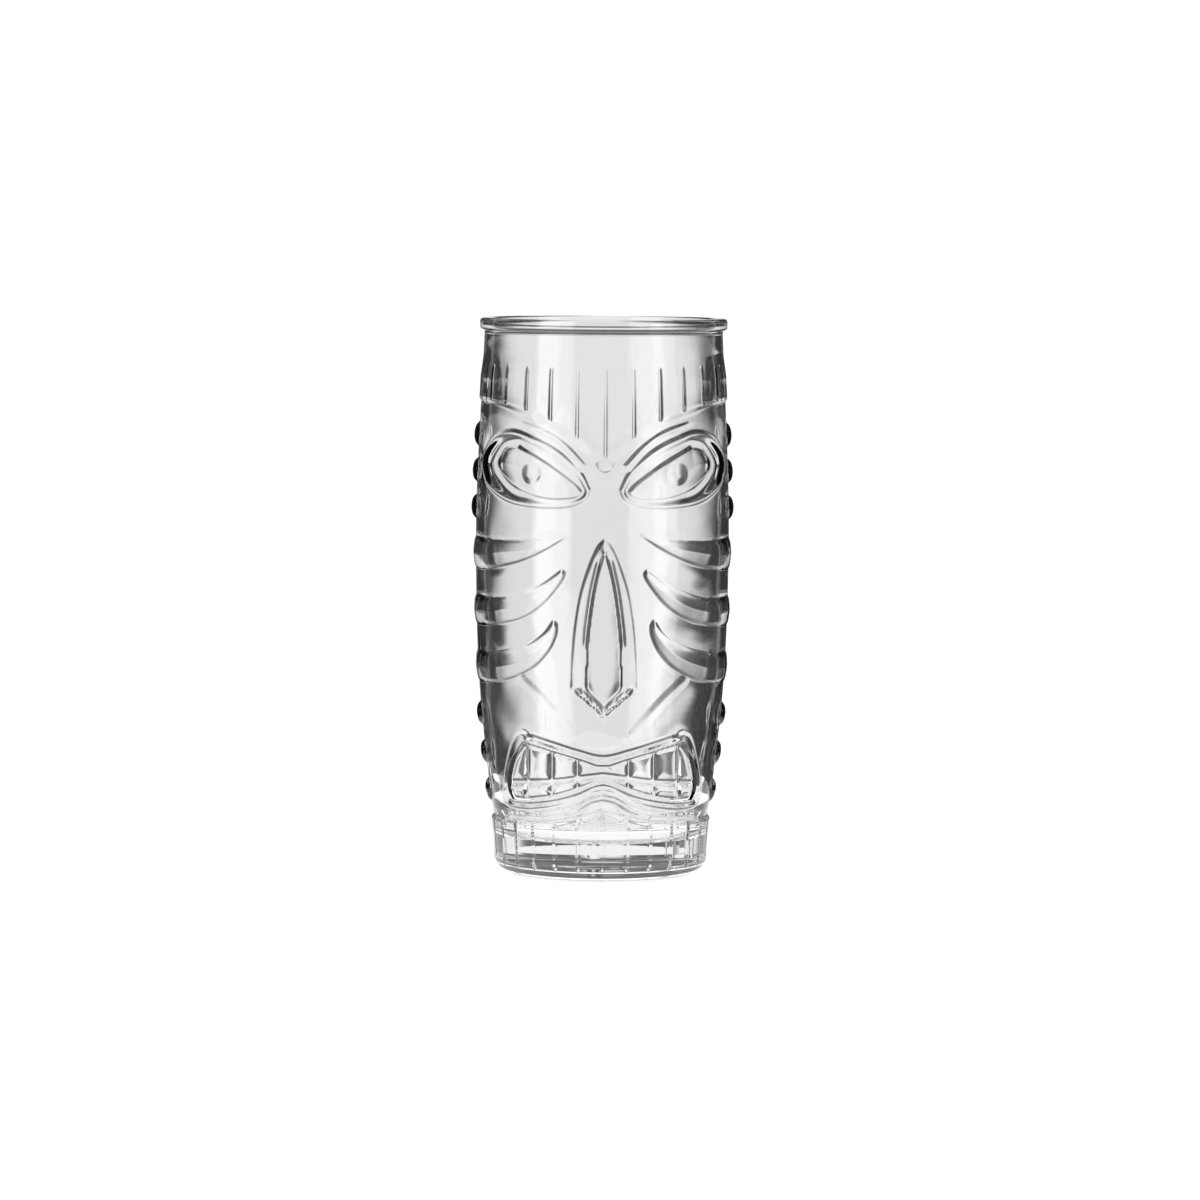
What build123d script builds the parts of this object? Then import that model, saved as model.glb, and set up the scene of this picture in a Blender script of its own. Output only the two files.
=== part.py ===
from build123d import *
import math
import os

# A tall pressed-glass tumbler whose outside skin is moulded as a carved mask, with a plain back above
# its fluted base band. +Z is up, the foot stands on Z = 0, the axis is the Z axis and the mask
# looks along -Y. All sizes are in millimetres.

HEIGHT = 168.3          # foot to lip
BARREL_R = 38.45        # widest radius of the plain skin, between the cheeks
WALL = 2.3              # glass between the plain skin and the drinking space
FLOOR = 11.0            # glass under the drinking space
LIP_PROUD = 1.4         # rim band beyond the neck
LIP_TALL = 3.7          # rim band, top to bottom
LIP_ROUND = 1.1         # fire-polished corners of the rim band
FLUTES = 28             # grooves in a whole turn, round the base band and round the collar
COLLAR_REACH = 8        # last collar groove to either side, counted from the middle of the mask
WRAP = 14.0             # collar and cheek leaves run on past the sides to this far behind the axis
FLUTE_WIDE = 0.8        # each groove, across
FLUTE_DEEP = 0.3        # groove floor below the plain skin, in collar and base band
COLLAR_PROUD = 0.75     # collar lands beyond the plain skin at their lower edge
BAND_PROUD = 0.85       # base band beyond the plain skin
RELIEF = 0.9            # brows, eye rims, cheek leaves and lips beyond the plain skin
NOSE_PROUD = 1.3        # front facet of the nose beyond the plain skin
SOCKET_DEEP = 0.5       # eyes and gaps between teeth below the plain skin
TOOTH_PROUD = 0.45      # teeth beyond the plain skin
BEAD_R = 3.5            # round studs on the sides, and the pupils
BEAD_PROUD = 1.4        # studs beyond the plain skin
PUPIL_DEEP = 0.6        # pupils, dimpled into the eyes
FOOT_R = 0.754 * BARREL_R  # ring that the tumbler stands on
PUSH_UP = 1.6           # hollow under the foot

# The mask is drawn on a body of this size, and follows the real height and radius from there.
DRAWN_TALL, DRAWN_R = 168.3, 38.45
FAR = 2 * BARREL_R      # longer than any cut through the body


def at(x, z):
    """A drawn point at the real size."""
    return x * BARREL_R / DRAWN_R, z * HEIGHT / DRAWN_TALL


# Plain skin from the heel to the neck, as drawn radius and height.
HEEL = (31.6, 3.4)
NECK = (36.1, 163.6)
SKIN = [HEEL, (32.55, 17), (34.4, 30.2), (36.75, 52), (37.95, 72.7), (38.45, 98), (38.2, 117),
        (37.3, 138.4), (36.7, 150), NECK]


def skin(proud=0.0):
    """The plain skin as a turned solid, standing proud of its true place by this much."""
    side = [(r + proud, z) for r, z in (at(*p) for p in SKIN)]
    foot, top = (FOOT_R + proud, 0), (side[-1][0], HEIGHT)
    outline = Polyline((0, HEIGHT), (0, 0), foot)
    outline += ThreePointArc(foot, heel_mid(foot, side[0]), side[0])
    outline += Spline(*side)
    outline += Polyline(side[-1], top, (0, HEIGHT))
    return revolve(Plane.XZ * make_face(outline), Axis.Z)


def heel_mid(a, b):
    """The middle of the rounded heel between foot and skin."""
    return a[0] + 0.72 * (b[0] - a[0]), a[1] + 0.3 * (b[1] - a[1])


def panel(*runs):
    """A closed outline in the mask's face view. Each run of drawn points is one smooth curve."""
    edges = []
    for k, run in enumerate(runs):
        end = runs[(k + 1) % len(runs)][0]
        points = [at(*p) for p in (run if run[-1] == end else [*run, end])]
        edges.append(Line(*points) if len(points) == 2 else Spline(*points))
    return Plane.XZ * make_face(edges)


def stroke(dx, dz, *points):
    """A band swept by a drawn line moved this far to either side."""
    there = [(x - dx, z - dz) for x, z in points]
    back = [(x + dx, z + dz) for x, z in reversed(points)]
    return panel(there, there[-1:], back, back[-1:])


def blocks(*faces, behind=0):
    """These outlines and their mirror images, from this far behind the axis out past the mask."""
    right = [Pos(0, behind, 0) * extrude(f, amount=FAR + behind) for f in faces]
    return right + [mirror(b, about=Plane.YZ) for b in right]


def ring(points, inner):
    """A turned ring with this outer line, reaching in to a radius inside the glass."""
    line = [at(*p) for p in points]
    return revolve(Plane.XZ * make_face(
        Spline(*line) + Polyline(line[-1], (inner, line[-1][1]), (inner, line[0][1]), line[0])), Axis.Z)


def spokes(low, high, rays):
    """Thin upright plates on the rays of these flutes, number 0 at the middle of the mask."""
    near, plates = FOOT_R * 0.8, []
    for k in rays:
        turn = 360 * k / FLUTES
        bottom = low(math.radians(turn))
        plate = Pos(0, -near - FAR / 2, (bottom + high) / 2) * Box(FLUTE_WIDE, FAR, high - bottom)
        plates.append(Rot(0, 0, turn) * fillet(plate.edges().filter_by(Axis.Y), FLUTE_WIDE * 0.45))
    return plates


def skin_radius(z):
    """Radius of the plain skin at a real height."""
    side = [at(*p) for p in SKIN]
    for (r0, z0), (r1, z1) in zip(side, side[1:]):
        if z <= z1:
            return r0 + (r1 - r0) * (z - z0) / (z1 - z0)


def stud(turn, drawn_z, radius, proud):
    """A cap of a ball standing on the skin, its root no deeper than half the wall."""
    z = at(0, drawn_z)[1]
    ball_r = (radius ** 2 + proud ** 2) / (2 * proud)
    root = WALL / 2
    cap = Sphere(ball_r) & Pos(0, 0, ball_r - (proud + root) / 2) * Cylinder(ball_r, proud + root)
    return Rot(0, 0, turn) * Pos(skin_radius(z) + proud - ball_r, 0, z) * Rot(0, 90, 0) * cap


def dimple(turn, drawn_z, radius, surface, deep):
    """A ball that sinks a round hollow into a surface standing off the skin by this much."""
    z = at(0, drawn_z)[1]
    ball_r = (radius ** 2 + deep ** 2) / (2 * deep)
    return Rot(0, 0, turn) * Pos(skin_radius(z) + surface - deep + ball_r, 0, z) * Sphere(ball_r)


# ---- outlines of the mask, right half, as drawn (x, z) ----
BROW_LINE = [(0, 126.2), (3.4, 128), (8, 132), (16.4, 137.6), (24, 140.6), (33.5, 143.1), (60, 143.8)]
BAND_LINE = [(0, 21.6), (3.7, 20.5), (7.6, 19), (13.5, 17.8), (20, 17.2), (60, 16.8)]
EYE_RIM = panel([(4.4, 117.8), (7.6, 123.8), (14.4, 129.7), (21, 133), (27.6, 135), (33, 132.6),
                 (36.3, 126), (35.4, 119.4), (32.4, 115.9), (28, 113.6), (21.6, 112.6), (12.2, 112.7),
                 (6.2, 114.8)])
EYE_HOLE = panel([(6.2, 117.2), (9, 120.3), (17.5, 126.4)],
                 [(25.6, 131), (30.4, 129.2), (32.4, 124.4), (28.4, 119), (21.6, 115.7), (15, 114.7),
                  (8.6, 115.3)])
BROW = panel([(4.3, 125.4), (10, 131.2), (17, 136)], [(25, 139)],
             [(29, 137.2), (21, 134.4), (13.8, 130.8)], [(7.4, 122)])
LEAF_1 = panel([(9.1, 105.6), (16, 103.8), (25, 102.4)], [(34, 101.8)], [(60, 101.8)], [(60, 92.4)],
               [(36, 92.6), (30.6, 94), (24, 96.2), (17, 99.8), (12, 103.2)])
LEAF_2 = panel([(12.6, 94.6), (19.4, 89.6), (27.6, 85.6)], [(34, 84.2)], [(60, 84.2)], [(60, 75.4)],
               [(36, 75.6), (29.2, 77.2), (23.4, 79.4), (17.8, 83.6), (13.2, 89.2), (11.4, 92.8)])
LEAF_3 = panel([(15, 79.6), (18.6, 74.8), (25, 70.4)], [(34, 67.4)], [(60, 67.2)], [(60, 57.8)],
               [(36, 58.2), (28.6, 60), (21.2, 64), (16.4, 69), (13.9, 74), (13.6, 77.6)])
NOSE = panel([(0, 104.2), (3.2, 100.6), (7.2, 89.5), (9.2, 78.4), (10.1, 67)], [(10.3, 58.4)],
             [(8.9, 56.4)], [(0, 48.8)])
NOSE_FACET = panel([(0, 99.6), (2.4, 91), (4.4, 76)], [(5.1, 60)], [(4.6, 58.2)], [(0, 53.8)])
NOSE_STROKE = panel([(1.3, 98.6), (4.4, 86.5)], [(6, 72), (4.9, 76), (2.6, 90)])
CHIN_STROKE = panel([(7.6, 57.9)], [(6.4, 58.6)], [(0, 53)], [(0, 50.6)])
MOUTH = panel([(0, 39.3), (7.8, 41), (15, 43)],
              [(24, 45.6), (26.6, 43.4), (28.7, 35.6), (29.7, 26.4), (28.6, 22), (24.4, 20.9),
               (17.4, 21.9), (10.3, 24)], [(4, 27)], [(0, 28)])
TEETH = panel([(0, 35.4), (8.1, 37.7), (16.4, 39.9)], [(23, 41.6), (26.2, 36), (27.4, 28)],
              [(26.2, 24), (22, 24.2), (14.4, 25.8), (8.4, 27.8)], [(2.7, 30.2)], [(0, 30.9)])
GAPS = [stroke(0.5, 0, (x, 20), (x, 44)) for x in (7.65, 15.25, 22.5)]
BITE = stroke(0, 0.45, (0.5, 32.6), (7.65, 31.6), (15.25, 30.4), (29, 28.8))
LIP_CREASE = stroke(0, 0.25, (2, 29.1), (8.4, 26.2), (15, 24.2), (22, 22.8), (27, 22.6))
STUD_HEIGHTS = (24.5, 36.2, 47.9, 111.1, 122.1, 133.1)

# ---- plain turned body with its rim band ----
neck_r = at(*NECK)[0]
lip_r = neck_r + LIP_PROUD
lip_low = HEIGHT - LIP_TALL
lip = revolve(Plane.XZ * fillet(
    make_face(Polyline((0, lip_low), (lip_r, lip_low), (lip_r, HEIGHT), (0, HEIGHT), (0, lip_low)))
    .vertices().filter_by(lambda v: v.X > 1), LIP_ROUND), Axis.Z)
body = skin() + lip

# ---- fluted collar and base band, cut off along the brows and along the chin ----
half_collar = panel(BROW_LINE, [BROW_LINE[-1]], [(60, 160)], [(0, 160)])
half_band = panel(BAND_LINE, [BAND_LINE[-1]], [(60, -5)], [(0, -5)])
deep = BARREL_R - 2 * WALL
# The last point of each line lies just inside the plain skin, so the ring rises out of it.
land = [(r + COLLAR_PROUD * share, z) for r, z, share in (
    (38.0, 122, 1), (37.45, 136, 1), (36.95, 145, 1), (36.7, 150, 0.7), (36.15, 157.5, 0))]
cuff = [(r + BAND_PROUD * share, z) for r, z, share in (
    (31.4, 4.2, 0), (31.95, 7.1, 0.5), (32.4, 12, 1), (32.6, 16, 0.9), (33.2, 23.5, 0.9))]
body += [ring(land, deep) & b for b in blocks(half_collar, behind=WRAP)]
body += [ring(cuff, FOOT_R - WALL) & b for b in blocks(half_band, behind=FAR)]


def brow_height(turn):
    """Height of the collar's lower edge on this ray, with the drawn brow line read straight."""
    x = abs(math.sin(turn)) * DRAWN_R
    for (x0, z0), (x1, z1) in zip(BROW_LINE, BROW_LINE[1:]):
        if x <= x1:
            return at(0, z0 + (z1 - z0) * (x - x0) / (x1 - x0) + 0.9)[1]


collar_plates = spokes(brow_height, at(0, 154.4)[1], range(-COLLAR_REACH, COLLAR_REACH + 1))
band_plates = spokes(lambda turn: at(0, 2.6)[1], at(0, 24)[1], range(FLUTES))
body -= Part() + collar_plates + band_plates - skin(-FLUTE_DEEP)

# ---- brows, eyes, cheeks, nose and mouth ----
raised = skin(RELIEF)
body += [raised & b for b in blocks(EYE_RIM, BROW, NOSE, MOUTH)]
body += [raised & b for b in blocks(LEAF_1, LEAF_2, LEAF_3, behind=WRAP)]
body += [skin(NOSE_PROUD) & b for b in blocks(NOSE_FACET)]
sunk = skin(-SOCKET_DEEP)
body -= [b - sunk for b in blocks(EYE_HOLE)]
body -= [b - skin(TOOTH_PROUD) for b in blocks(TEETH, LIP_CREASE)]
body -= [b - sunk for b in blocks(*(g & TEETH for g in (*GAPS, BITE)))]
body -= [b - skin(0) for b in blocks(NOSE_STROKE, CHIN_STROKE)]

# ---- drinking space and the hollow under the foot ----
inner = [(r - WALL, z) for r, z in (at(*p) for p in SKIN[2:])]
floor_r = inner[0][0] * 0.62
cavity = Spline(*inner) + Polyline(inner[-1], (inner[-1][0], HEIGHT + 1), (0, HEIGHT + 1), (0, FLOOR),
                                   (floor_r, FLOOR))
cavity += Spline((floor_r, FLOOR), inner[0], tangents=((1, 0), (0.12, 1)))
body -= revolve(Plane.XZ * make_face(cavity), Axis.Z)
hollow_r = FOOT_R * 0.86
arch_r = (hollow_r ** 2 + PUSH_UP ** 2) / (2 * PUSH_UP)
body -= Pos(0, 0, PUSH_UP - arch_r) * Sphere(arch_r)

# ---- studs down both sides, the bead between the brows, and the pupils ----
body += [stud(side, z, BEAD_R, BEAD_PROUD) for side in (0, 180) for z in STUD_HEIGHTS]
body -= [dimple(-90 + side, 122.6, BEAD_R, -SOCKET_DEEP, PUPIL_DEEP) for side in (-34.5, 34.5)]
body += stud(-90, 125.9, BEAD_R * 0.8, BEAD_PROUD * 0.5)

os.makedirs("parts", exist_ok=True)
export_step(body, "parts/glass_tumbler.step")
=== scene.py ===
import math

import bpy
import numpy as np
from mathutils import Matrix, Vector


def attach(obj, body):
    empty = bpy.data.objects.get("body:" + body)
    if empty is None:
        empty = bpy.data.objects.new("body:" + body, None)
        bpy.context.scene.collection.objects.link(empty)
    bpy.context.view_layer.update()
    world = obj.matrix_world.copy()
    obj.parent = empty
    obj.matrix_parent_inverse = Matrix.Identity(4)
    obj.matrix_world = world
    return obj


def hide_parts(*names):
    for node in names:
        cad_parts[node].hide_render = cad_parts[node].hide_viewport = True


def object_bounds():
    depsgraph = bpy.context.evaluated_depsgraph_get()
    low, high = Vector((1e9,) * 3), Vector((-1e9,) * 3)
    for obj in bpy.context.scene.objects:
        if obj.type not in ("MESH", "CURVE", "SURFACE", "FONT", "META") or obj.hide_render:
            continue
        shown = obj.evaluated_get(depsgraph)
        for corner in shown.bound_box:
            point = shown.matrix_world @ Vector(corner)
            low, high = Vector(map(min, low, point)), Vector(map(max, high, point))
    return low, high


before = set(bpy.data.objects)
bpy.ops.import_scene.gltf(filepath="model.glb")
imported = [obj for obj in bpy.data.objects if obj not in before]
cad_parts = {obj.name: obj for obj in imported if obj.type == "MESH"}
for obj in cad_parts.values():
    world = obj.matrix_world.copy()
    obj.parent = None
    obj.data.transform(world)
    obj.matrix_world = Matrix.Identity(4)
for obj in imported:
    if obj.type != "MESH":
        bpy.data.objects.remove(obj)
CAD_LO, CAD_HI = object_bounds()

# A tall pressed-glass tumbler with a carved mask in relief, standing in a pale studio.
# Drawn sizes below are in millimetres, as a mould maker gives them: heights up from the foot, and
# across the mask from its middle line. The mask is the same on its left and right. The back is plain
# above the fluted base band.

MM = 0.001
HEIGHT = (CAD_HI.z - CAD_LO.z) / MM
BARREL_R = 38.45                 # widest radius of the plain skin
SKIN_LOW, SKIN_TOP = 3.0, 163.6  # the plain skin runs between the heel and the lip
WALL = 2.3
FLOOR = 11.0                     # height of the bottom of the drinking space
FLUTES = 28
COLUMNS = FLUTES * 24   # of mesh round the body, a whole number to each flute
ROW = 0.36              # height of one row of mesh up the skin


# ---------------------------------------------------------------- camera
CAMERA_AWAY, CAMERA_UP = 1500, 197
CAMERA_ROUND = math.radians(-1.1)
CAMERA_ROLL = math.radians(0.38)
AIM = Vector((-0.6, 0, 82.5)) * MM

cam = bpy.data.objects.new("camera", bpy.data.cameras.new("camera"))
bpy.context.collection.objects.link(cam)
bpy.context.scene.camera = cam
cam.data.sensor_width = 36
cam.data.lens = 148.3
cam.data.clip_start, cam.data.clip_end = 0.05, 30
cam.location = Vector((CAMERA_AWAY * math.sin(CAMERA_ROUND), -CAMERA_AWAY * math.cos(CAMERA_ROUND),
                       CAMERA_UP)) * MM
look = (AIM - cam.location).to_track_quat("-Z", "Y").to_matrix().to_4x4()
cam.matrix_world = Matrix.Translation(cam.location) @ look @ Matrix.Rotation(CAMERA_ROLL, 4, "Z")


# ---------------------------------------------------------------- drawn lines
def smooth(points, steps=10):
    """A smooth line through these points, as many short chords."""
    p = np.array(points, float)
    if len(p) < 3:
        return p
    p = np.vstack([2 * p[0] - p[1], p, 2 * p[-1] - p[-2]])
    out = []
    for a, b, c, d in zip(p, p[1:], p[2:], p[3:]):
        for t in np.arange(steps) / steps:
            out.append(0.5 * (2 * b + (c - a) * t + (2 * a - 5 * b + 4 * c - d) * t * t
                              + (3 * b - a - 3 * c + d) * t ** 3))
    return np.array(out + [p[-2]])


SKIN = smooth([(31.6, 3.4), (32.55, 17), (34.4, 30.2), (36.75, 52), (37.95, 72.7), (38.45, 98),
               (38.2, 117), (37.3, 138.4), (36.7, 150), (36.1, SKIN_TOP)])


def skin(z):
    """Radius of the plain skin at a height."""
    return np.interp(z, SKIN[:, 1], SKIN[:, 0])


def wrapped(points):
    """Points drawn in the mask's front view, laid round the body: distance round it, and height."""
    p = np.array(points, float)
    share = p[:, 0] / skin(p[:, 1])
    round_it = np.where(share < 1, np.arcsin(np.clip(share, -1, 1)), math.pi / 2 + share - 1)
    return np.column_stack([round_it * BARREL_R, p[:, 1]])


def outline(*runs):
    """A closed outline. Each run is one smooth line that ends where the next begins."""
    line = []
    for number, run in enumerate(runs):
        end = runs[(number + 1) % len(runs)][0]
        line.append(smooth(wrapped(run if run[-1] == end else [*run, end]))[:-1])
    return np.vstack(line)


# ---------------------------------------------------------------- relief
# Half the body is worked out, and the other half is its mirror image. s is the distance round it,
# from the mask's middle line to that of the back, and side_s is halfway, where the studs are.
half = COLUMNS // 2
s_line = np.arange(half + 1) * (2 * math.pi / COLUMNS) * BARREL_R
side_s = math.pi / 2 * BARREL_R
z_line = np.arange(SKIN_LOW, SKIN_TOP, ROW)
S, Z = np.meshgrid(s_line, z_line)


def away(line, closed=True):
    """Distance of every point of the half from a line, positive inside a closed one."""
    best = np.full(S.shape, 1e9)
    inside = np.zeros(S.shape, bool)
    ends = np.roll(line, -1, axis=0) if closed else line[1:]
    for (x0, y0), (x1, y1) in zip(line, ends):
        dx, dy = x1 - x0, y1 - y0
        t = np.clip(((S - x0) * dx + (Z - y0) * dy) / (dx * dx + dy * dy + 1e-12), 0, 1)
        best = np.minimum(best, (S - x0 - t * dx) ** 2 + (Z - y0 - t * dy) ** 2)
        if closed and y0 != y1:
            inside ^= ((y0 > Z) != (y1 > Z)) & (S < dx * (Z - y0) / dy + x0)
    return np.sqrt(best) * (np.where(inside, 1, -1) if closed else 1)


def step(d, wide):
    """0 outside, easing to 1 this far inside."""
    t = np.clip(d / wide, 0, 1)
    return t * t * (3 - 2 * t)


def crown(d, wide):
    """0 at the edge, rising like a quarter circle to 1 this far inside."""
    t = np.clip(d / wide, 0, 1)
    return np.sqrt(1 - (1 - t) ** 2)


def dome(d, wide):
    """0 at the edge, rising gently and levelling off at 1 this far inside."""
    t = np.clip(d / wide, 0, 1)
    return t * (2 - t)


def ridge(d, wide):
    """A soft ridge along distance 0."""
    return np.exp(-(d / wide) ** 2)


def between(d_out, d_in):
    """0 at an outer outline, rising evenly to 1 at an inner one."""
    return np.clip(d_out / np.maximum(d_out - d_in, 1e-6), 0, 1)


BROW_LINE = [(0, 126.2), (3.4, 128), (8, 132), (16.4, 137.6), (24, 140.6), (33.5, 143.1), (60, 143.8)]
BAND_LINE = [(0, 21.6), (3.7, 20.5), (7.6, 19), (13.5, 17.8), (20, 17.2), (60, 16.8)]
brow_line, band_line = smooth(wrapped(BROW_LINE)), smooth(wrapped(BAND_LINE))
above_brow = np.sign(Z - np.interp(S, *brow_line.T)) * away(brow_line, closed=False)
from_middle = np.minimum(S, 2 * side_s - S)     # of the mask or of the back, whichever is nearer
below_band = np.interp(from_middle, *band_line.T) - Z
PITCH = 2 * math.pi * BARREL_R / FLUTES
flute = np.abs((S + PITCH / 2) % PITCH - PITCH / 2)

relief = np.zeros(S.shape)


def raise_by(height):
    """Lifts the relief to this height wherever it is lower, and leaves it alone where this is flat."""
    global relief
    relief = np.where(height > 0.02, np.maximum(relief, height), relief)


def add(height):
    """Adds to the relief, or cuts into it where the height is below 0."""
    global relief
    relief = relief + height


# collar, flaring out to a step along the brows
collar_edge = 4 - 2.9 * step(S - 26, 14)
add(0.65 * step(158 - Z, 8) * step(above_brow / collar_edge + 0.5, 1))

# brows: a low band with a soft ridge along it, fainter towards the temples
brow = away(outline([(4.3, 125.2), (10, 131), (17, 135.8)], [(25, 138.6)],
                    [(29, 137.2), (21, 134.4), (13.8, 130.8)], [(7.4, 122)]))
brow_ridge = away(smooth(wrapped([(5.6, 122.8), (10.4, 129.4), (16, 134.6), (24, 137.6)])), closed=False)
raise_by(step(brow, 1.7) * (0.15 + 0.17 * ridge(brow_ridge, 1.8)) * (1 - 0.7 * step(S - 18, 12)))

# eyes: thin rim, sloping channel, eyeball and dimpled pupil
PUPIL_R, PUPIL_DEEP = 3.5, 0.5
pupil_s, pupil_z = math.radians(34.5) * BARREL_R, 122.6
eye_rim = away(outline([(4.4, 117.8), (7.6, 123.8), (14.4, 129.7), (21, 133), (27.6, 135), (33, 132.6),
                        (36.3, 126), (35.4, 119.4), (32.4, 115.9), (28, 113.6), (21.6, 112.6),
                        (12.2, 112.7), (6.2, 114.8)]))
eye_hole = away(outline([(6.2, 117.2), (9, 120.3), (17.5, 126.4)],
                        [(25.6, 131), (30.4, 129.2), (32.4, 124.4), (28.4, 119), (21.6, 115.7),
                         (15, 114.7), (8.6, 115.3)]))
channel = between(eye_rim - 0.9, eye_hole)
raise_by(0.32 * ridge(eye_rim - 0.6, 0.7))
channel_low = -0.1 - 1.0 * step(S - 26, 14)     # deepest round the outer corner of the eye
relief = np.where(eye_rim > 0.9, 0.26 + (channel_low - 0.26) * step(channel, 0.6), relief)
eyeball = channel_low + (0.1 - channel_low) * step(eye_hole, 0.9) + 0.4 * dome(eye_hole, 8)
relief = np.where(eye_hole > 0, eyeball, relief)
pupil = np.hypot(S - pupil_s, Z - pupil_z)
add(-PUPIL_DEEP * dome(PUPIL_R - pupil, PUPIL_R))

# cheek leaves, which run on round the sides
for shape in (
    outline([(9.1, 105.6), (16, 103.8), (25, 102.4)], [(34, 101.8)], [(60, 101.8)], [(60, 92.4)],
            [(36, 92.6), (30.6, 94), (24, 96.2), (17, 99.8), (12, 103.2)]),
    outline([(12.6, 94.6), (19.4, 89.6), (27.6, 85.6)], [(34, 84.2)], [(60, 84.2)], [(60, 75.4)],
            [(36, 75.6), (29.2, 77.2), (23.4, 79.4), (17.8, 83.6), (13.2, 89.2), (11.4, 92.8)]),
    outline([(15, 79.6), (18.6, 74.8), (25, 70.4)], [(34, 67.4)], [(60, 67.2)], [(60, 57.8)],
            [(36, 58.2), (28.6, 60), (21.2, 64), (16.4, 69), (13.9, 74), (13.6, 77.6)]),
):
    leaf = away(shape)
    raise_by(0.22 * step(leaf, 0.8) + 0.58 * dome(leaf, 5.5))

# nose: border, sloping sides, flat front with a cut beside it, and a chipped line round the tip
NOSE_PROUD = 0.95
nose = away(outline([(0, 104.2), (3.2, 100.6), (7.2, 89.5), (9.2, 78.4), (10.1, 67)], [(10.3, 58.4)],
                    [(8.9, 56.4)], [(0, 48.8)], [(-10, 49)], [(-10, 104)]))
facet = away(outline([(0, 99.6), (2.4, 91), (4.4, 76)], [(5.1, 60)], [(4.6, 58.2)], [(0, 53.8)],
                     [(-10, 54)], [(-10, 99)]))
cut = away(smooth(wrapped([(1.4, 98.4), (3.6, 88.5), (5.1, 78), (5.7, 71.5)])), closed=False)
side = 0.26 * step(nose, 1.2) + 0.5 * between(nose - 0.8, facet)
flat = (BARREL_R + NOSE_PROUD) / np.cos(S / BARREL_R) - BARREL_R
raise_by(np.where(facet > 0, flat, side) * (nose > 0))
add(-0.7 * ridge(cut, 0.55) * step(98.6 - Z, 3) * step(Z - 70, 5))
tip = away(smooth(wrapped([(0, 51.6), (7.6, 58)])), closed=False)
chips = 1 + 0.5 * np.sin(S * 4.1 + 1.3 * np.sin(Z * 2.3)) * np.sin(Z * 3.7 + S)
add(-0.7 * ridge(tip, 1.0) * chips)

# mouth: lips, the upper one sunk round its edge, and two rows of teeth between them
mouth = away(outline([(-8, 41), (0, 39.3), (7.8, 41), (15, 43)],
                     [(24, 45.6), (26.6, 43.4), (28.7, 35.6), (29.7, 26.4), (28.6, 22), (24.4, 20.9),
                      (17.4, 21.9), (10.3, 24)], [(4, 27)], [(0, 28)], [(-8, 26)]))
teeth = away(outline([(-8, 37.6), (0, 35.4), (8.1, 37.7), (16.4, 39.9)],
                     [(23, 41.6), (26.2, 36), (27.4, 28)],
                     [(26.2, 24), (22, 24.2), (14.4, 25.8), (8.4, 27.8)], [(2.7, 30.2)], [(0, 30.9)],
                     [(-8, 30.9)]))
upper_lip = step(Z - 33.5, 3) * step(27 - S, 3)
sunk_edge = -0.75 * step(mouth, 1.5) + 1.35 * step(mouth - 1.6, 1.1)
lips = upper_lip * sunk_edge + (1 - upper_lip) * 0.85 * step(mouth, 1.3)
crease = away(smooth(wrapped([(0, 29.4), (3, 28.7), (8.4, 26.1), (15, 24.1), (22, 22.8), (27, 22.8)])),
              closed=False)
lips -= 0.8 * ridge(crease, 0.45) * (mouth > 0)
relief = np.where(mouth > 0, lips, relief)
bite = away(smooth(wrapped([(0, 32.7), (7.65, 31.6), (15.25, 30.4), (29, 28.8)])), closed=False)
cell = np.minimum(teeth, bite - 0.1)
for x in (7.65, 15.25, 22.5):
    gap = wrapped([(x, 20), (x, 33), (x, 44)])
    cell = np.minimum(cell, np.abs(S - np.interp(Z, gap[:, 1], gap[:, 0])) - 0.1)
tooth = -0.3 + 0.55 * step(cell - 0.25, 0.7) + 0.3 * dome(cell - 0.6, 3)
relief = np.where(teeth > 0, tooth, relief)
chin = away(smooth(wrapped([(0, 26), (4, 24.9), (9, 21.9), (16, 19.8), (27, 19)])), closed=False)
raise_by(0.6 * ridge(chin, 0.9) * (below_band < 0.2))

# the mask and its collar die away behind the sides
MASK_END, MASK_FADE = math.radians(99) * BARREL_R, 9
relief *= 1 - step(S - MASK_END, MASK_FADE)

# base band, all the way round
add(0.85 * step(Z - 1.6, 2.6) * step(below_band + 0.2, 0.8))

# studs down the sides, the bead between the brows, and a faint mould seam
STUD_R, STUD_PROUD = 3.5, 1.45
STUD_HEIGHTS = (24.5, 36.2, 47.9, 111.1, 122.1, 133.1)
BEAD_R, BEAD_PROUD, BEAD_Z = 2.8, 0.5, 125.9
SEAM_PROUD, SEAM_WIDE = 0.08, 0.35
for stud_z in STUD_HEIGHTS:
    raise_by(STUD_PROUD * crown(STUD_R - np.hypot(S - side_s, Z - stud_z), STUD_R))
raise_by(BEAD_PROUD * crown(BEAD_R - np.hypot(S, Z - BEAD_Z), BEAD_R))
add(SEAM_PROUD * ridge(S - side_s, SEAM_WIDE))

# fold from the cheek down to the upper lip
fold = away(smooth(wrapped([(24.5, 61), (18, 55), (12.4, 49), (9, 45.5)])), closed=False)
raise_by(0.09 * ridge(fold, 1.4))


def polish(field, wide):
    """Rounds every edge a little, as fire-polishing does."""
    for axis, pitch in ((0, ROW), (1, s_line[1])):
        reach = max(1, math.ceil(2.5 * wide / pitch))
        weights = np.exp(-((np.arange(-reach, reach + 1) * pitch / wide) ** 2) / 2)
        weights /= weights.sum()
        pad = [(reach, reach) if a == axis else (0, 0) for a in (0, 1)]
        padded = np.pad(field, pad, mode="edge" if axis == 0 else "reflect")
        n = field.shape[axis]
        field = sum(w * np.take(padded, np.arange(first, first + n), axis=axis)
                    for first, w in enumerate(weights))
    return field


behind = 0.5 * polish(relief, 1.6)      # what the inside shows of the relief
relief = polish(relief, 0.22)

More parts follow.
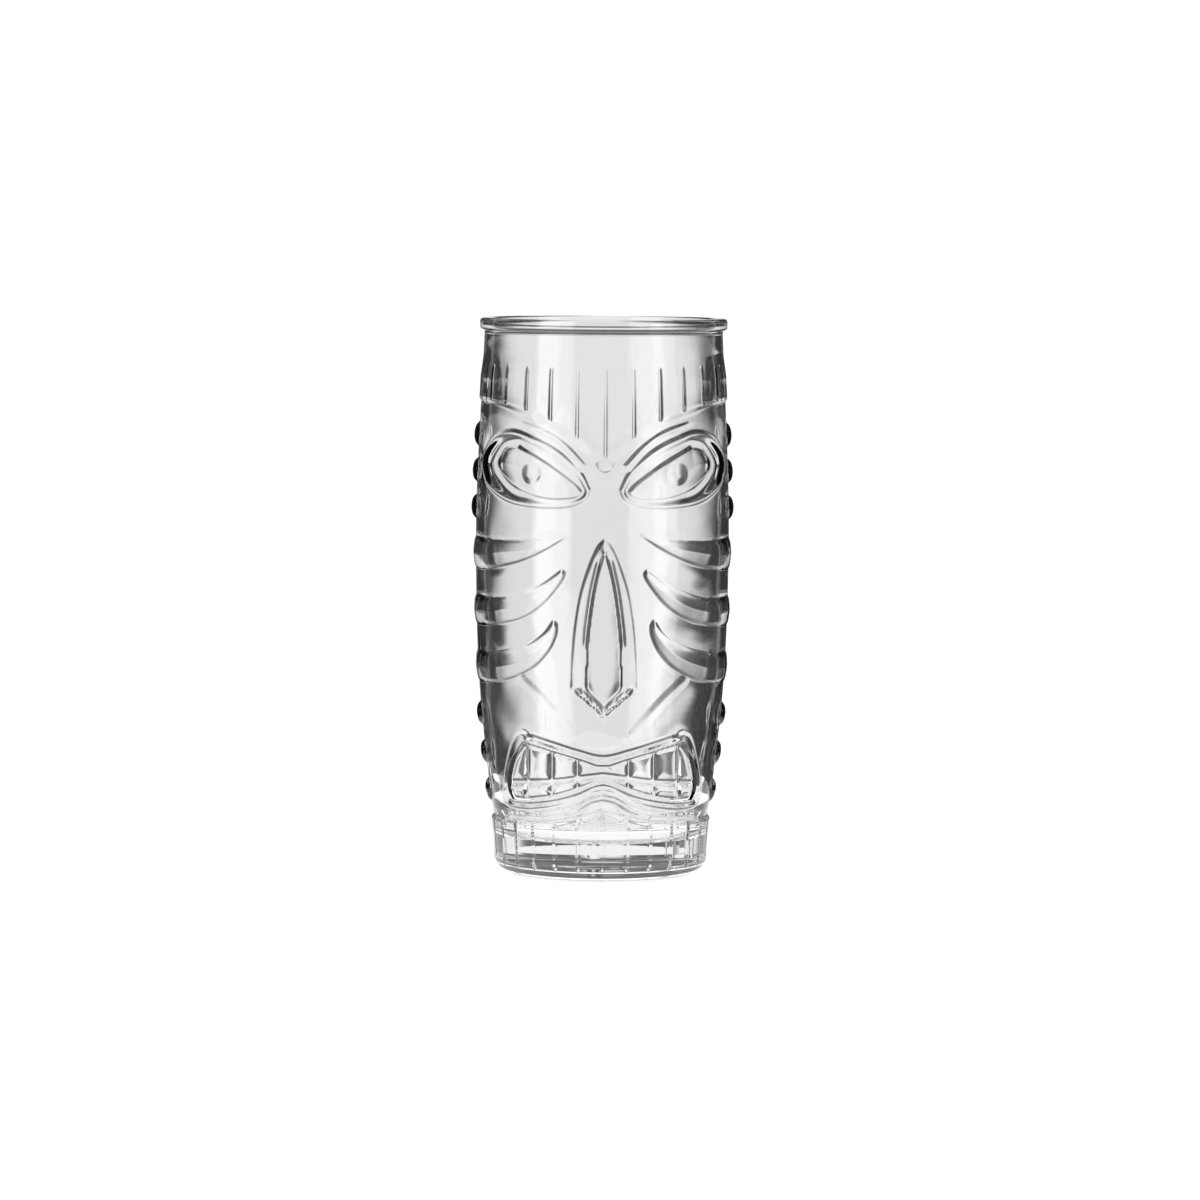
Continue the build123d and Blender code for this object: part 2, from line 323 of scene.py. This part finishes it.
# flutes: fine cuts down the collar, deeper towards its lower edge, and slots up the base band
COLLAR_END = math.radians(106) * BARREL_R       # the last flute round to the back
cut_line = np.clip(1 - flute / 0.7, 0, 1)
slot_line = step(0.75 - flute, 0.35)
collar_cut = step(above_brow - 0.4, 0.9) * step(154.6 - Z, 1.2) * (0.22 + 0.2 * step(152 - Z, 16))
collar_cut *= 0.6 + 0.4 * step(S - 5, 10)
collar_cut *= step(COLLAR_END - S, 1.0)
base_cut = 0.55 * step(below_band + 0.4, 0.8) * step(Z - 2.6, 1.5)
add(-cut_line * collar_cut - slot_line * base_cut)


# ---------------------------------------------------------------- glass body
def arc(cx, cz, r, start, end, n):
    """Points along an arc in the cutting plane, between two angles in degrees."""
    a = np.radians(np.linspace(start, end, n))
    return [(cx + r * math.cos(t), cz + r * math.sin(t)) for t in a]


LIP_R, ROUND_LIP, LIP_TALL = 37.5, 1.1, 3.7
FILLET = 0.5                     # where the skin turns out under the lip
STRAIGHT_INSIDE = 30.2           # above this height the inside keeps one wall's thickness from the skin
FOOT_IN, FOOT_OUT, HEEL_R = 25.9, 28.4, 3.2     # flat ring it stands on, and the rounding outside it
HOLLOW_R, PUSH_UP, HOLLOW_ROWS = 25.0, 1.6, 60  # shallow hollow under the foot
in_r = skin(SKIN_TOP) - WALL
inside = [(skin(z) - WALL, z) for z in np.arange(STRAIGHT_INSIDE, SKIN_TOP, 2 * ROW)]
floor_r = inside[0][0] * 0.62
corner = smooth([(floor_r, FLOOR), (floor_r + 6.2, FLOOR + 2.6), (floor_r + 10.6, FLOOR + 9.6),
                 inside[0]], 6)

# One line from the middle of the foot, out, up the skin, over the lip, down inside, to the middle
# of the floor. Skin rows carry the relief.
under = [(HOLLOW_R * t, PUSH_UP * (1 - t * t)) for t in np.linspace(0, 1, HOLLOW_ROWS)]
under += [(FOOT_IN, 0.0), (FOOT_OUT, 0.0)] + arc(FOOT_OUT, HEEL_R, HEEL_R, -86, -4, 8)
path = under[1:] + [(skin(z), z) for z in z_line]
first_skin = len(under) - 1
lip_low = HEIGHT - LIP_TALL
path += arc(skin(SKIN_TOP) + FILLET, lip_low - FILLET, FILLET, 180, 90, 4)[1:]
path += arc(LIP_R - ROUND_LIP, lip_low + ROUND_LIP, ROUND_LIP, -90, 0, 6)
path += arc(LIP_R - ROUND_LIP, HEIGHT - ROUND_LIP, ROUND_LIP, 0, 90, 7)
path += arc(in_r + ROUND_LIP, HEIGHT - ROUND_LIP, ROUND_LIP, 90, 180, 7)
first_inside = len(path)
path += [(in_r, 165.5)] + [tuple(p) for p in inside[::-1]]
path += [tuple(p) for p in corner[::-1][1:]] + [(floor_r * t, FLOOR) for t in np.linspace(0.9, 0.1, 9)]
path = np.array(path)

turn = np.arange(COLUMNS) * 2 * math.pi / COLUMNS
# the column of the half body that each column of the whole one repeats
fold_round = np.concatenate([np.arange(half + 1), np.arange(half - 1, 0, -1)])
radius = np.repeat(path[:, :1], COLUMNS, axis=1)
height = np.repeat(path[:, 1:], COLUMNS, axis=1)
radius[first_skin:first_skin + len(z_line)] += relief[:, fold_round]

# pips all over the hollow under the foot, in rings, fading out at its middle and its edge
PIP_PITCH, PIP_PROUD = 2.6, 0.16
pips = slice(0, HOLLOW_ROWS - 2)
rings = np.sin(radius[pips] * 2 * math.pi / PIP_PITCH)
stipple = rings * np.cos(np.round(radius[pips] * 2.2) * turn)
height[pips] += PIP_PROUD * stipple * step(HOLLOW_R - radius[pips], 2) * step(radius[pips], 3)

# the inside follows the relief, softly, except near the lip and the floor
INSIDE_TOP = 162
for row in range(first_inside, len(path)):
    up = path[row, 1]
    if z_line[0] <= up <= z_line[-1]:
        follow = behind[np.searchsorted(z_line, up - 1e-6)][fold_round]
        radius[row] += follow * step(up - 24, 8) * step(INSIDE_TOP - up, 6)

# and it never comes out quite smooth: slow waves, fading out at lip and floor
WAVE = 0.1
up = height[first_inside:]
wave = (np.sin(3 * turn + up / 17) * np.sin(up / 11 + 1) + 0.6 * np.sin(5 * turn - up / 9 + 2)
        + 0.35 * np.sin(11 * turn + up / 5) * np.sin(up / 7)) * WAVE
radius[first_inside:] += wave * step(up - 14, 10) * step(INSIDE_TOP - up, 8)

ring = np.stack([radius * np.sin(turn), -radius * np.cos(turn), height], axis=-1) * MM
verts = np.vstack([ring.reshape(-1, 3), [[0, 0, PUSH_UP * MM], [0, 0, FLOOR * MM]]])
under_middle, floor_middle = len(verts) - 2, len(verts) - 1
here = np.arange(COLUMNS)
after = (here + 1) % COLUMNS
bands = []
for row in range(len(path) - 1):
    low, high = row * COLUMNS, (row + 1) * COLUMNS
    bands.append(np.column_stack([low + here, low + after, high + after, high + here]))
quads = np.vstack(bands)
last = (len(path) - 1) * COLUMNS
caps = [(under_middle, int(after[j]), int(here[j])) for j in here]
caps += [(floor_middle, int(last + here[j]), int(last + after[j])) for j in here]

mesh = bpy.data.meshes.new("glass_body")
mesh.from_pydata(verts.tolist(), [], quads.tolist() + caps)
mesh.polygons.foreach_set("use_smooth", [True] * len(mesh.polygons))
mesh.update()
glass = bpy.data.objects.new("glass_body", mesh)
bpy.context.collection.objects.link(glass)
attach(glass, "root")
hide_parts("glass_tumbler")


# ---------------------------------------------------------------- materials
def linear(colour):
    """A #rrggbb colour as the shader wants it."""
    parts = [int(colour[i:i + 2], 16) / 255 for i in (1, 3, 5)]
    return [c / 12.92 if c <= 0.04045 else ((c + 0.055) / 1.055) ** 2.4 for c in parts] + [1.0]


def node(tree, kind, links=(), **settings):
    """Adds a node, sets its values by socket or property name, and links sockets to it."""
    made = tree.nodes.new(kind)
    for key, value in settings.items():
        name = key.replace("_", " ")
        found = [s for s in made.inputs if s.name.lower() == name.lower()]
        if found:
            found[0].default_value = value
        else:
            setattr(made, key, value)
    for name, socket in links:
        tree.links.new(socket, made.inputs[name])
    return made


def new_material(name):
    """A material with no nodes in it yet, and its node tree."""
    made = bpy.data.materials.new(name)
    made.use_nodes = True
    made.node_tree.nodes.clear()
    return made, made.node_tree


# Soda-lime glass, fire-polished: clear, a touch of grey in its thickness, wet-sharp gloss. A slow
# ripple in the surface bends what is seen through it, as pressed glass does.
RIPPLE_WIDE, RIPPLE_DEEP = 9 * MM, 0.06 * MM
soda, shader = new_material("soda_lime_glass")
place = node(shader, "ShaderNodeTexCoord")
ripple = node(shader, "ShaderNodeTexNoise", [("Vector", place.outputs["Object"])],
              Scale=1 / RIPPLE_WIDE, Detail=1.0, Roughness=0.4)
bump = node(shader, "ShaderNodeBump", [("Height", ripple.outputs["Fac"])], Strength=0.25,
            Distance=RIPPLE_DEEP)
clear = node(shader, "ShaderNodeBsdfPrincipled", [("Normal", bump.outputs["Normal"])],
             Base_Color=linear("#ffffff"), Roughness=0.0, IOR=1.52, Transmission_Weight=1.0)
grey = node(shader, "ShaderNodeVolumeAbsorption", Color=linear("#e4e9e8"), Density=4.0)
node(shader, "ShaderNodeOutputMaterial", [("Surface", clear.outputs[0]), ("Volume", grey.outputs[0])])
mesh.materials.append(soda)

# White acrylic of a light table, with a faint mottle, lit from below so that nothing on it casts a
# dark shadow.
MOTTLE_WIDE = 25 * MM
acrylic, shader = new_material("lit_white_acrylic")
place = node(shader, "ShaderNodeTexCoord")
mottle = node(shader, "ShaderNodeTexNoise", [("Vector", place.outputs["Object"])],
              Scale=1 / MOTTLE_WIDE, Detail=3.0)
tint = node(shader, "ShaderNodeMix", [("Factor", mottle.outputs["Fac"])], data_type="RGBA")
tint.inputs[6].default_value, tint.inputs[7].default_value = linear("#f4f4f3"), linear("#fafafa")
matt = node(shader, "ShaderNodeBsdfPrincipled", [("Base Color", tint.outputs[2])], Roughness=0.7,
            Emission_Color=linear("#ffffff"), Emission_Strength=0.75)
node(shader, "ShaderNodeOutputMaterial", [("Surface", matt.outputs[0])])

# ---------------------------------------------------------------- floor
# A round light table, a hair below the foot. Past its edge there is only the studio's white.
TABLE_R, TABLE_LOW, TABLE_SIDES = 160 * MM, 0.2 * MM, 96
edge = [(TABLE_R * math.cos(a), TABLE_R * math.sin(a))
        for a in np.linspace(0, 2 * math.pi, TABLE_SIDES + 1)[:-1]]
table = bpy.data.meshes.new("floor")
table.from_pydata([(x, y, -TABLE_LOW) for x, y in edge], [], [list(range(TABLE_SIDES))])
floor = bpy.data.objects.new("floor", table)
bpy.context.collection.objects.link(floor)
table.materials.append(acrylic)

# ---------------------------------------------------------------- studio light
# What the glass reflects: near-black boards all round, with a tall soft box front left and front
# right, narrow grey boards at the sides and behind, and a pale panel straight behind. Each pair is a
# bearing from straight behind, in degrees, right positive, and the brightness there.
REFLECTED = [(-180, 0.05), (-152, 0.05), (-149, 1.6), (-115, 1.6), (-112, 0.05), (-94, 0.05),
             (-92, 0.2), (-88, 0.2), (-86, 0.04), (-48, 0.04), (-46, 0.2), (-43, 0.2), (-41, 0.04),
             (-12, 0.04), (-8, 0.4), (-5, 0.86), (5, 0.86), (8, 0.4), (12, 0.04), (41, 0.04), (43, 0.2),
             (46, 0.2), (48, 0.04), (86, 0.04), (88, 0.2), (92, 0.2), (94, 0.05), (107, 0.05),
             (110, 1.5), (132, 1.5), (135, 0.45), (145, 0.45), (148, 0.05), (180, 0.05)]
# What is seen through it: a pale panel behind, falling away to near black at its sides. The same
# panel stands at every eighth of a turn, so the tumbler reads as glass from all round.
HALF_PANEL = 22.5
PANEL = [(0, 0.87), (4.2, 0.86), (5.8, 0.78), (7, 0.6), (8.4, 0.38), (10.5, 0.15), (14, 0.045),
         (HALF_PANEL, 0.04)]
ABOVE_PANEL, CEILING = 0.1, 0.5  # brightness over the panel, and overhead in what the glass reflects
LOW_SQUEEZE = 1.9                # how many times narrower the panel is from 6 degrees below level down
THROWN_UP = 0.85
SHOWN_WHITE = 1.12               # the backdrop itself, burnt out to white
BRIGHTEST = 3.0                  # top of the scale that the lists are read on

world = bpy.data.worlds.new("studio")
bpy.context.scene.world = world
world.use_nodes = True
sky = world.node_tree
sky.nodes.clear()
where = node(sky, "ShaderNodeTexCoord")
axes = node(sky, "ShaderNodeSeparateXYZ", [("Vector", where.outputs["Generated"])])
bearing = node(sky, "ShaderNodeMath", [(0, axes.outputs["X"]), (1, axes.outputs["Y"])], operation="ARCTAN2")


def brightness(pairs, of, low, high):
    """Reads a brightness from a list of pairs by the angle that this socket holds, in radians."""
    share = node(sky, "ShaderNodeMapRange", [("Value", of)])
    share.inputs["From Min"].default_value = math.radians(low)
    share.inputs["From Max"].default_value = math.radians(high)
    ramp = node(sky, "ShaderNodeFloatCurve", [("Value", share.outputs[0])])
    curve = ramp.mapping.curves[0]
    for x, y in pairs[1:-1]:
        curve.points.new((x - low) / (high - low), y / BRIGHTEST)
    curve.points[0].location = (0, pairs[0][1] / BRIGHTEST)
    curve.points[-1].location = (1, pairs[-1][1] / BRIGHTEST)
    for p in curve.points:
        p.handle_type = "VECTOR"
    ramp.mapping.update()
    level = node(sky, "ShaderNodeMath", [(0, ramp.outputs[0])], operation="MULTIPLY")
    level.inputs[1].default_value = BRIGHTEST
    return level.outputs[0]


def blend(factor, a, b):
    """Mixes two brightnesses; either may be a plain number."""
    made = node(sky, "ShaderNodeMix", [("Factor", factor)], data_type="FLOAT")
    for socket, value in ((made.inputs["A"], a), (made.inputs["B"], b)):
        if isinstance(value, float):
            socket.default_value = value
        else:
            sky.links.new(value, socket)
    return made.outputs[0]


def rising(value, low, high):
    """0 below one value, rising to 1 above another."""
    made = node(sky, "ShaderNodeMapRange", [("Value", value)])
    made.inputs["From Min"].default_value, made.inputs["From Max"].default_value = low, high
    return made.outputs[0]


eighth = node(sky, "ShaderNodeMath", [(0, bearing.outputs[0])], operation="PINGPONG")
eighth.inputs[1].default_value = math.radians(HALF_PANEL)
# Heights in the studio are sines of the angle up from level.
height_up = axes.outputs["Z"]
narrowing = blend(rising(height_up, -0.105, -0.078), LOW_SQUEEZE, 1.0)
across = node(sky, "ShaderNodeMath", [(0, eighth.outputs[0]), (1, narrowing)], operation="MULTIPLY")
mirrored = blend(rising(height_up, 0.5, 0.75), brightness(REFLECTED, bearing.outputs[0], -180, 180),
                 CEILING)
through = blend(rising(height_up, 0.05, 0.13), brightness(PANEL, across.outputs[0], 0, HALF_PANEL),
                ABOVE_PANEL)
# Light that was never reflected on its way through the glass shows the panel. All other light shows
# what the glass reflects.
sight = node(sky, "ShaderNodeLightPath")
unreflected = node(sky, "ShaderNodeMath", [(0, sight.outputs["Glossy Depth"])], operation="LESS_THAN")
unreflected.inputs[1].default_value = 0.5
crossed = node(sky, "ShaderNodeMath",
               [(0, sight.outputs["Transmission Depth"]), (1, unreflected.outputs[0])],
               operation="MULTIPLY")
lit = blend(rising(crossed.outputs[0], 0.4, 0.6), mirrored, through)
# Light that went into the glass and out of it once, was reflected on the way and ends up rising, as it
# does off the underside of the thick base, shows one even brightness.
in_and_out = node(sky, "ShaderNodeMath", [(0, sight.outputs["Transmission Depth"])],
                  operation="COMPARE")
in_and_out.inputs[1].default_value, in_and_out.inputs[2].default_value = 2.0, 0.1
upward = node(sky, "ShaderNodeMath", [(0, in_and_out.outputs[0]), (1, rising(height_up, 0.0, 0.02))],
              operation="MULTIPLY")
reflected = rising(sight.outputs["Glossy Depth"], 0.4, 0.6)
thrown_up = node(sky, "ShaderNodeMath", [(0, upward.outputs[0]), (1, reflected)], operation="MULTIPLY")
lit = blend(thrown_up.outputs[0], lit, THROWN_UP)
shown = blend(sight.outputs["Is Camera Ray"], lit, SHOWN_WHITE)
back = node(sky, "ShaderNodeBackground", [("Strength", shown)], Color=linear("#ffffff"))
node(sky, "ShaderNodeOutputWorld", [("Surface", back.outputs[0])])

bpy.context.scene.view_settings.view_transform = "Standard"
